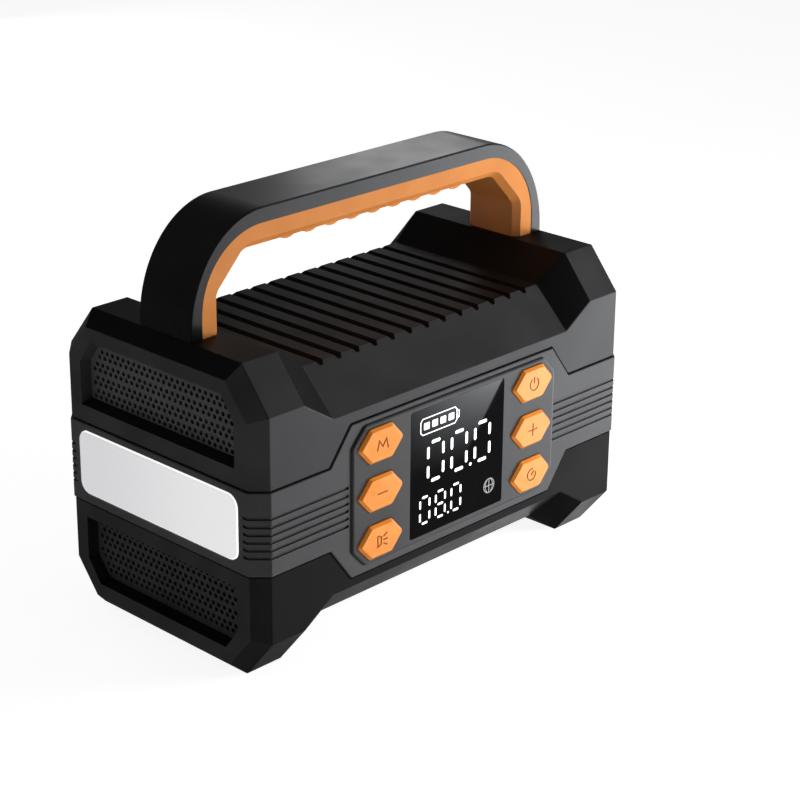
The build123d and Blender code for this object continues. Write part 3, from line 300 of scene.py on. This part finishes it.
def button_material(kind):
    """Orange key whose engraved sign is filled with a darker paint."""
    low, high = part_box("button_" + kind)
    centre = (low + high) / 2
    shader = Shader("button_" + kind)
    place = shader.position()
    cloud = shader.noise(90, detail=3)
    grains = shader.noise(GRAIN_SCALE * 1.5, detail=2)

    sign = shader.math("GREATER_THAN", place["Y"], low.y + SIGN_SUNK)
    for axis, middle in (("X", centre.x), ("Z", centre.z)):
        away = shader.math("ABSOLUTE", shader.math("SUBTRACT", place[axis], middle))
        sign = shader.math("MULTIPLY", sign, shader.math("LESS_THAN", away, SIGN_REACH))
    orange = shader.mottle(cloud, rgb(229, 134, 46), rgb(235, 143, 56))
    shader.set(
        Base_Color=shader.mix(sign, orange, rgb(150, 68, 18)),
        Roughness=shader.patchy(cloud, 0.27, 0.33),
        Specular_IOR_Level=0.5,
        Coat_Weight=0.15,
        Coat_Roughness=0.2,
    )
    shader.bump((grains, 0.12, 0.03))
    return shader.material


def window_material():
    """Smoked display window: black and polished, with a faint uneven haze."""
    shader = Shader("window_black")
    haze = shader.noise(30, detail=5)
    smear = shader.noise(160, detail=3, stretch=(1.0, 1.0, 0.3))
    shader.set(
        Base_Color=shader.mix(haze, rgb(7, 7, 8), rgb(12, 12, 13)),
        Roughness=shader.ramp(smear, 0.3, 0.8, 0.008, 0.014),
        Specular_IOR_Level=0.15,
    )
    shader.bump((haze, 0.004, 0.1))
    return shader.material


def lamp_material():
    """Frosted white diffuser that glows a little, with painted light making it lighter towards the front and
    a painted highlight along its rounded rim.
    """
    shader = Shader("lamp_white")
    cloud = shader.noise(25, detail=3)
    frost = shader.noise(GRAIN_SCALE, detail=2)
    low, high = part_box("lamp_lens")
    # painted light: the face gets lighter towards the front
    painted_front_light = shader.ramp(shader.position()["Y"], low.y, high.y, 1.0, 0.0)
    face = shader.mix(painted_front_light, rgb(214, 214, 216), rgb(232, 232, 233))
    # painted highlight: the rounded rim gets a near-white colour and a stronger glow
    rim = shader.ramp(shader.facing()["X"], -0.97, -0.75, 0.0, 1.0)
    shader.set(
        Base_Color=shader.mix(rim, face, rgb(250, 250, 250)),
        Roughness=shader.ramp(cloud, 0.2, 0.8, 0.3, 0.42),
        Specular_IOR_Level=0.5,
        Emission_Color=shader.mix(rim, face, rgb(255, 255, 255)),
        Emission_Strength=shader.ramp(rim, 0, 1, 0.45, 0.85),
    )
    shader.bump((frost, 0.2, 0.03))
    return shader.material


ALONG_X = (0.1, 1.0, 1.0)   # stretches a noise into lines along X
ALONG_Y = (1.0, 0.1, 1.0)


def metal(name, colour, light, rough, lines=None, metallic=1.0):
    """Metal with fine machining lines along one axis, or a cast grain when there are none."""
    shader = Shader(name)
    if lines:
        marks = shader.noise(900, detail=4, stretch=lines)
    else:
        marks = shader.noise(1400, detail=3)
    patches = shader.noise(70, detail=4)
    shader.set(
        Base_Color=shader.mix(patches, colour, light),
        Metallic=metallic,
        Roughness=shader.ramp(marks, 0.2, 0.8, rough - 0.08, rough + 0.1),
    )
    shader.bump((marks, 0.15, 0.03))
    return shader.material


def board_material(name, colour, track):
    """Circuit board: solder mask with the pattern of its copper showing through."""
    shader = Shader(name)
    brick = shader.node("ShaderNodeTexBrick")
    brick.inputs["Scale"].default_value = 180
    brick.inputs["Mortar Size"].default_value = 0.06
    brick.inputs["Color1"].default_value = (0, 0, 0, 1)
    brick.inputs["Color2"].default_value = (0.3, 0.3, 0.3, 1)
    brick.inputs["Mortar"].default_value = (1, 1, 1, 1)
    shader.link(shader.place, brick.inputs["Vector"])
    speck = shader.noise(700, detail=2)
    shader.set(
        Base_Color=shader.mix(brick.outputs["Fac"], colour, track),
        Roughness=shader.ramp(speck, 0.3, 0.7, 0.28, 0.4),
        Specular_IOR_Level=0.5,
    )
    shader.bump((brick.outputs["Fac"], 0.2, 0.05), (speck, 0.1, 0.02))
    return shader.material


def foil_material():
    """Pouch cell foil: dull aluminium laminate with soft creases."""
    shader = Shader("cell_foil")
    crease = shader.noise(60, detail=6, roughness=0.65, stretch=(0.5, 1.0, 1.0))
    shader.set(
        Base_Color=shader.mix(crease, rgb(158, 160, 164), rgb(190, 192, 195)),
        Metallic=0.8,
        Roughness=shader.ramp(crease, 0.3, 0.7, 0.3, 0.5),
    )
    shader.bump((crease, 0.4, 0.3))
    return shader.material


def winding_material():
    """Armature: steel laminations across the shaft with copper varnish between them."""
    shader = Shader("copper_steel")
    wave = shader.node("ShaderNodeTexWave", wave_type="BANDS", bands_direction="X")
    wave.inputs["Scale"].default_value = 500
    wave.inputs["Distortion"].default_value = 0.3
    shader.link(shader.place, wave.inputs["Vector"])
    patches = shader.noise(200, detail=3)
    steel = shader.mix(patches, rgb(120, 118, 116), rgb(150, 146, 140))
    shader.set(
        Base_Color=shader.mix(wave.outputs["Fac"], steel, rgb(160, 92, 48)),
        Metallic=0.9,
        Roughness=shader.ramp(patches, 0.2, 0.8, 0.35, 0.5),
    )
    shader.bump((wave.outputs["Fac"], 0.3, 0.05))
    return shader.material


def segment_material(name, colour, light, glow, strength, roughness):
    """Marks of the display, lit from behind: a body colour, and the colour and strength of the glow."""
    shader = Shader(name)
    spread = shader.noise(400, detail=2)
    shader.set(
        Base_Color=shader.mix(spread, colour, light),
        Roughness=shader.ramp(spread, 0.3, 0.7, *roughness),
        Emission_Color=shader.mix(spread, *glow),
        Emission_Strength=shader.ramp(spread, 0.2, 0.8, *strength),
    )
    shader.bump((spread, 0.05, 0.02))
    return shader.material


def paint_outside():
    paint(shell_material(), "upper_shell")
    paint(lower_shell_material(), "lower_shell")
    band = moulded("band_grey", rgb(59, 59, 60), rgb(67, 67, 68), 0.42, specular=0.35)
    paint(band, "middle_band", "port_door")
    grey = moulded("grille_grey", rgb(66, 66, 67), rgb(76, 76, 77), 0.5, specular=0.4)
    paint(grey, "grille_upper_left", "grille_upper_right")
    black = moulded("grille_black", rgb(45, 45, 46), rgb(53, 53, 54), 0.5, specular=0.3)
    paint(black, "grille_lower_left", "grille_lower_right")
    plate = moulded("panel_grey", rgb(55, 55, 56), rgb(62, 62, 63), 0.33, specular=0.25, grain=0.08)
    paint(plate, "control_plate", "port_plate")
    paint(cover_material(), "handle_cover")
    paint(grip_material(), "handle_grip")
    for kind in BUTTONS:
        paint(button_material(kind), "button_" + kind)
    paint(window_material(), "display_glass")
    paint(lamp_material(), "lamp_lens")
    paint(moulded("pad_rubber", rgb(22, 22, 22), rgb(32, 32, 32), 0.7, specular=0.3, grain=0.5), "foot_pads")


def paint_plastics_inside():
    black = moulded("inner_black", rgb(28, 28, 29), rgb(38, 38, 39), 0.5)
    paint(black, "display_module", "battery_tray", "motor_cap", "cooling_fan")
    for node, name, colour, light, rough, grain in (
        ("keypad_mat", "keypad_rubber", (120, 122, 124), (135, 137, 140), 0.6, 0.3),
        ("jump_socket", "socket_blue", (28, 70, 150), (36, 82, 165), 0.4, 0.25),
        ("lead_positive", "lead_red", (170, 24, 20), (190, 34, 28), 0.5, 0.3),
        ("lead_negative", "lead_black", (24, 24, 25), (34, 34, 35), 0.5, 0.3),
        ("air_pipe", "pipe_black", (30, 30, 32), (40, 40, 43), 0.45, 0.2),
        ("lamp_leds", "led_yellow", (236, 214, 96), (246, 228, 130), 0.3, 0.1),
    ):
        paint(moulded(name, rgb(*colour), rgb(*light), rough, grain=grain), node)


def paint_electrics():
    green = board_material("board_green", rgb(22, 92, 52), rgb(46, 128, 78))
    paint(green, "main_board", "control_board")
    paint(board_material("board_white", rgb(224, 226, 226), rgb(200, 202, 202)), "lamp_board")
    paint(foil_material(), *(f"battery_cell_{number}" for number in range(1, BATTERY_CELLS + 1)))
    nickel = metal("port_nickel", rgb(190, 190, 192), rgb(208, 208, 210), 0.25, lines=ALONG_X)
    paint(nickel, "usb_a_ports", "usb_c_port")


def paint_metals():
    cast = metal("aluminium", rgb(190, 192, 195), rgb(205, 207, 210), 0.42)
    paint(cast, "heat_sink", "gear_frame", "piston_rod", "cylinder", "cylinder_head")
    steel = metal("steel", rgb(165, 165, 168), rgb(185, 185, 188), 0.3, lines=ALONG_X)
    paint(steel, "motor_can", "motor_shaft", "door_pin", "crank_axle")
    paint(steel, "case_screws", "handle_screws", "board_screws", "pump_screws")
    paint(metal("gear_steel", rgb(140, 140, 144), rgb(158, 158, 162), 0.38), "crank_gear")
    paint(metal("magnet_grey", rgb(56, 56, 58), rgb(68, 68, 70), 0.6, metallic=0.4), "motor_magnets")
    paint(winding_material(), "motor_armature")
    brass = metal("brass", rgb(205, 170, 90), rgb(222, 188, 110), 0.3, lines=ALONG_Y)
    paint(brass, "jump_contacts", "pinion_gear", "air_outlet")


# ---------------------------------------------------------------- display marks
MARK_PROUD = 0.06 * MM
ROUND_STEPS = 6             # straight pieces in the half circle at the end of a stroke


class Marks:
    """Flat marks on the display's face, gathered into one mesh. Places are in millimetres from the
    middle of the glass, +x to the viewer's right and +z up."""

    def __init__(self):
        self.mesh = bmesh.new()
        self.centre = (glass_low + glass_high) / 2
        self.face_y = glass_low.y

    def prism(self, outline):
        """A thin plate through the glass's face, standing MARK_PROUD in front of it."""
        front = [
            self.mesh.verts.new((self.centre.x + x * MM, self.face_y - MARK_PROUD, self.centre.z + z * MM))
            for x, z in outline
        ]
        back = [self.mesh.verts.new(v.co + Vector((0, 2 * MARK_PROUD, 0))) for v in front]
        self.mesh.faces.new(front)
        self.mesh.faces.new(back[::-1])
        for index, corner in enumerate(front):
            other = (index + 1) % len(front)
            self.mesh.faces.new((corner, back[index], back[other], front[other]))

    def stroke(self, x0, z0, x1, z1, width):
        """A straight stroke with round ends."""
        along = math.atan2(z1 - z0, x1 - x0)
        outline = []
        for x, z, start in ((x1, z1, along - math.pi / 2), (x0, z0, along + math.pi / 2)):
            for step in range(ROUND_STEPS + 1):
                angle = start + math.pi * step / ROUND_STEPS
                outline.append((x + width / 2 * math.cos(angle), z + width / 2 * math.sin(angle)))
        self.prism(outline)

    def path(self, points, width, close=False):
        """Strokes from point to point."""
        pairs = list(zip(points, points[1:]))
        if close:
            pairs.append((points[-1], points[0]))
        for (x0, z0), (x1, z1) in pairs:
            self.stroke(x0, z0, x1, z1, width)

    def panel(self, x0, z0, x1, z1, corner):
        """A rectangle with cut corners."""
        self.prism([
            (x0 + corner, z0), (x1 - corner, z0), (x1, z0 + corner), (x1, z1 - corner),
            (x1 - corner, z1), (x0 + corner, z1), (x0, z1 - corner), (x0, z0 + corner),
        ])

    def dot(self, x, z, radius):
        """A disc: the shortest stroke, with its two round ends together."""
        self.stroke(x - 0.01, z, x + 0.01, z, 2 * radius)

    def digit(self, x, z, width, height, stroke, lit):
        """Seven separate segments with wide gaps at the corners; x and z are its lower left corner."""
        half = height / 2
        in_x = width * 0.29
        in_z = half * 0.27
        segments = {
            "top": (in_x, height, width - in_x, height),
            "upper_left": (0, half + in_z, 0, height - in_z),
            "upper_right": (width, half + in_z, width, height - in_z),
            "middle": (in_x, half, width - in_x, half),
            "lower_left": (0, in_z, 0, half - in_z),
            "lower_right": (width, in_z, width, half - in_z),
            "bottom": (in_x, 0, width - in_x, 0),
        }
        for name in lit:
            x0, z0, x1, z1 = segments[name]
            self.stroke(x + x0, z + z0, x + x1, z + z1, stroke)

    def finish(self, name, material):
        data = bpy.data.meshes.new(name)
        bmesh.ops.recalc_face_normals(self.mesh, faces=self.mesh.faces)
        self.mesh.to_mesh(data)
        self.mesh.free()
        data.materials.append(material)
        made = bpy.data.objects.new(name, data)
        bpy.context.scene.collection.objects.link(made)
        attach(made, "root")


ZERO = ("top", "upper_left", "upper_right", "lower_left", "lower_right", "bottom")
EIGHT = ZERO + ("middle",)


def battery_sign(marks):
    """An outline with cut corners and a tip, and four bars in it."""
    line, cut = 0.42, 1.2
    left, right, low, high = -22.4, -0.8, 16.5, 23.5
    marks.path([
        (left + cut, low), (right - cut, low), (right, low + cut), (right, high - cut),
        (right - cut, high), (left + cut, high), (left, high - cut), (left, low + cut),
    ], line, close=True)
    marks.path([(right, 18.2), (0.5, 18.6), (0.5, 21.4), (right, 21.8)], line)
    for bar in range(4):
        x = -20.5 + bar * 4.9
        marks.panel(x, 18.5, x + 3.3, 21.5, 0.25)


def numbers(marks):
    """The pressure in large digits and the set pressure in small ones, each with a point."""
    for x in (-17.7, -3.5, 10.8):
        marks.digit(x, -5.0, 9.0, 17.0, 1.45, ZERO)
    marks.dot(8.1, -5.0, 0.75)
    for x, lit in ((-22.2, ZERO), (-12.8, EIGHT), (-3.3, ZERO)):
        marks.digit(x, -22.9, 5.6, 11.6, 1.0, lit)
    marks.dot(-5.2, -22.7, 0.5)


def ball_sign(marks):
    """A circle with a cross and two curved seams."""
    centre_x, centre_z, radius = 20.2, -18.6, 3.2
    rim, seam_line = 0.38, 0.32
    turns, bends = 24, 8
    circle = []
    for step in range(turns):
        angle = 2 * math.pi * step / turns
        circle.append((centre_x + radius * math.cos(angle), centre_z + radius * math.sin(angle)))
    marks.path(circle, rim, close=True)
    for offset, bow in ((-1.3, -1.0), (1.3, 1.0)):
        seam = []
        for step in range(bends + 1):
            share = 2 * step / bends - 1
            x = centre_x + offset + bow * (1 - share * share)
            seam.append((x, centre_z + share * radius * 0.8))
        marks.path(seam, seam_line)
    marks.stroke(centre_x - radius, centre_z, centre_x + radius, centre_z, seam_line)
    marks.stroke(centre_x, centre_z - radius, centre_x, centre_z + radius, seam_line)


def display_marks():
    bright = Marks()
    battery_sign(bright)
    numbers(bright)
    bright.finish("display_segments", segment_material(
        "segment_white", rgb(235, 235, 238), rgb(250, 250, 252),
        glow=(rgb(244, 246, 250), rgb(255, 255, 255)), strength=(0.85, 1.0), roughness=(0.3, 0.4),
    ))
    dim = Marks()
    ball_sign(dim)
    dim.finish("display_ball_sign", segment_material(
        "segment_dim", rgb(150, 150, 152), rgb(165, 165, 168),
        glow=(rgb(175, 176, 178), rgb(190, 190, 192)), strength=(0.35, 0.45), roughness=(0.35, 0.45),
    ))


# ---------------------------------------------------------------- stage
def floor():
    """A large floor that its own glow turns white. Glossy surfaces don't mirror it."""
    reach = 40.0
    data = bpy.data.meshes.new("floor")
    corners = [(-reach, -reach, 0), (reach, -reach, 0), (reach, reach, 0), (-reach, reach, 0)]
    data.from_pydata(corners, [], [(0, 1, 2, 3)])
    made = bpy.data.objects.new("floor", data)
    shader = Shader("floor_white")
    patches = shader.noise(3, detail=2)
    shader.set(
        Base_Color=shader.mix(patches, (0.45, 0.45, 0.45), (0.5, 0.5, 0.5)),
        Roughness=0.9,
        Specular_IOR_Level=0.1,
        Emission_Color=(1.0, 1.0, 1.0, 1.0),
        Emission_Strength=0.9,
    )
    data.materials.append(shader.material)
    bpy.context.scene.collection.objects.link(made)
    made.visible_glossy = False


SKY_FILL = 0.04
# Soft bright spots in the room, made for the glossy surfaces: direction, sharpness and brightness.
SOFT_SPOTS = (
    ((0.86, -0.45, -0.25), 30.0, 10.0),
    ((0.93, -0.33, -0.15), 14.0, 1.0),
    ((0.76, 0.56, 0.33), 20.0, 0.3),
    ((0.68, 0.64, -0.36), 30.0, 0.4),
    ((0.95, 0.22, -0.22), 300.0, 3.0),
    ((0.93, 0.02, -0.36), 300.0, 12.0),
    ((0.75, 0.33, -0.57), 120.0, 6.0),
)


# What the display's glass mirrors: a dark part of the room with one cut corner of a soft box in it.
GLARE_SPREAD = 0.9969       # cosine of the dark part's half angle
GLARE_CUT = 0.986           # where the cut side meets the top of the glass, as a share of its width
GLARE_SLANT = 0.815         # how far the cut side runs to the left on its way down
GLARE_DEPTH = 0.55          # share of the height over which the soft box fades out
GLARE_FADE = 1.4            # and the power with which it does
GLARE_LEFT = 1.5            # its brightness at the left side
GLARE_RISE = 7.6            # and what it gains to the right
GLARE_DARK = 0.15           # brightness of the dark part


class Sky:
    """The world's node tree, with short calls for the sums made in it."""

    def __init__(self, name):
        self.world = bpy.data.worlds.new(name)
        self.world.use_nodes = True
        self.tree = self.world.node_tree
        self.place = self.tree.nodes.new("ShaderNodeTexCoord").outputs["Generated"]

    def compute(self, operation, *values):
        node = self.tree.nodes.new("ShaderNodeMath")
        node.operation = operation
        for socket, value in zip(node.inputs, values):
            if isinstance(value, bpy.types.NodeSocket):
                self.tree.links.new(value, socket)
            else:
                socket.default_value = value
        return node.outputs[0]

    def dot_with(self, direction):
        dot = self.tree.nodes.new("ShaderNodeVectorMath")
        dot.operation = "DOT_PRODUCT"
        self.tree.links.new(self.place, dot.inputs[0])
        dot.inputs[1].default_value = direction
        return dot.outputs["Value"]

    def show(self, strength):
        """Lights the scene with a strength that varies over the sky; the camera itself sees plain white."""
        fill = self.tree.nodes["Background"]
        fill.inputs["Color"].default_value = (0.95, 0.97, 1.0, 1)
        self.tree.links.new(strength, fill.inputs["Strength"])
        backdrop = self.tree.nodes.new("ShaderNodeBackground")
        backdrop.inputs["Color"].default_value = (1, 1, 1, 1)
        backdrop.inputs["Strength"].default_value = 1.0
        path = self.tree.nodes.new("ShaderNodeLightPath")
        choose = self.tree.nodes.new("ShaderNodeMixShader")
        self.tree.links.new(path.outputs["Is Camera Ray"], choose.inputs["Fac"])
        self.tree.links.new(fill.outputs[0], choose.inputs[1])
        self.tree.links.new(backdrop.outputs[0], choose.inputs[2])
        self.tree.links.new(choose.outputs[0], self.tree.nodes["World Output"].inputs["Surface"])
        bpy.context.scene.world = self.world


def mirrored(point):
    """Direction in which the camera sees past a point of the display's glass, as in a mirror."""
    ray = (point - EYE).normalized()
    return Vector((ray.x, -ray.y, ray.z))


def glare(sky):
    """The cut corner of the soft box, laid out over the mirrored directions of the glass."""
    top_left = mirrored(Vector((glass_low.x, glass_low.y, glass_high.z)))
    top_right = mirrored(Vector((glass_high.x, glass_low.y, glass_high.z)))
    bottom_left = mirrored(glass_low)
    to_right = top_left.cross(bottom_left)
    to_bottom = top_left.cross(top_right)
    # across is 0 at the glass's left side and 1 at its right, down 0 at its top and 1 at its bottom
    across = sky.dot_with(to_right / to_right.dot(top_right))
    down = sky.dot_with(to_bottom / to_bottom.dot(bottom_left))

    slanted = sky.compute("ADD", across, sky.compute("MULTIPLY", down, GLARE_SLANT))
    inside = sky.compute("LESS_THAN", slanted, GLARE_CUT)
    depth = sky.compute("SUBTRACT", 1.0, sky.compute("DIVIDE", down, GLARE_DEPTH))
    fade = sky.compute("POWER", sky.compute("MAXIMUM", depth, 0.0), GLARE_FADE)
    strength = sky.compute("ADD", sky.compute("MULTIPLY", across, GLARE_RISE), GLARE_LEFT)
    lit = sky.compute("MULTIPLY", sky.compute("MULTIPLY", inside, fade), strength)
    return sky.compute("ADD", lit, GLARE_DARK)


def world():
    """White behind the object for the camera; a dim room with a few soft spots for everything else."""
    sky = Sky("studio")
    total = SKY_FILL
    for direction, sharpness, brightness in SOFT_SPOTS:
        aligned = sky.compute("MAXIMUM", sky.dot_with(Vector(direction).normalized()), 0.0)
        lobe = sky.compute("POWER", aligned, sharpness)
        total = sky.compute("ADD", total, sky.compute("MULTIPLY", lobe, brightness))
    centre = mirrored((glass_low + glass_high) / 2)
    near = sky.compute("GREATER_THAN", sky.dot_with(centre), GLARE_SPREAD)
    around = sky.compute("MULTIPLY", total, sky.compute("SUBTRACT", 1.0, near))
    sky.show(sky.compute("ADD", around, sky.compute("MULTIPLY", near, glare(sky))))
    bpy.context.scene.view_settings.view_transform = "Standard"


def camera():
    data = bpy.data.cameras.new("camera")
    data.sensor_width = 36.0
    data.lens = LENS_MM
    data.shift_x, data.shift_y = LENS_SHIFT
    made = bpy.data.objects.new("camera", data)
    made.location = EYE
    made.rotation_euler = Euler((math.pi / 2 - ELEVATION, 0, AZIMUTH), "XYZ")
    made.rotation_euler.rotate_axis("Z", ROLL)
    bpy.context.scene.collection.objects.link(made)
    bpy.context.scene.camera = made


MIDDLE = (0.0, 0.0, 0.08)
# Name, place, aim, size, watts, and whether glossy surfaces mirror it.
LIGHTS = (
    ("key_front_right", (0.42, -0.42, 0.09), (0.03, 0.0, 0.08), (0.3, 0.16), 4.6, False),
    ("strip_high_right", (0.75, -0.1, 0.85), (0.0, 0.0, 0.13), (0.35, 0.06), 0.4, True),
    ("fill_left", (-1.1, 0.5, 0.45), MIDDLE, (0.8, 0.6), 0.7, False),
    ("fill_behind", (0.15, 1.1, 0.15), MIDDLE, (0.8, 0.4), 3.0, False),
    ("panel_behind", (0.38, 0.34, 0.31), (0.03, 0.0, 0.18), (0.12, 0.08), 0.1, True),
    ("top_fill", (0.0, -0.2, 1.3), MIDDLE, (1.4, 1.4), 0.7, False),
)


def lights():
    for name, place, aim, size, watts, mirrors in LIGHTS:
        data = bpy.data.lights.new(name, "AREA")
        data.shape = "RECTANGLE"
        data.size, data.size_y = size
        data.energy = watts
        light = bpy.data.objects.new(name, data)
        light.location = place
        light.rotation_euler = (Vector(aim) - Vector(place)).to_track_quat("-Z", "Y").to_euler()
        light.visible_glossy = mirrors
        bpy.context.scene.collection.objects.link(light)
    bpy.data.objects["panel_behind"].visible_camera = False     # it would show in views from the side


world()
floor()
camera()
lights()
paint_outside()
paint_plastics_inside()
paint_electrics()
paint_metals()
display_marks()
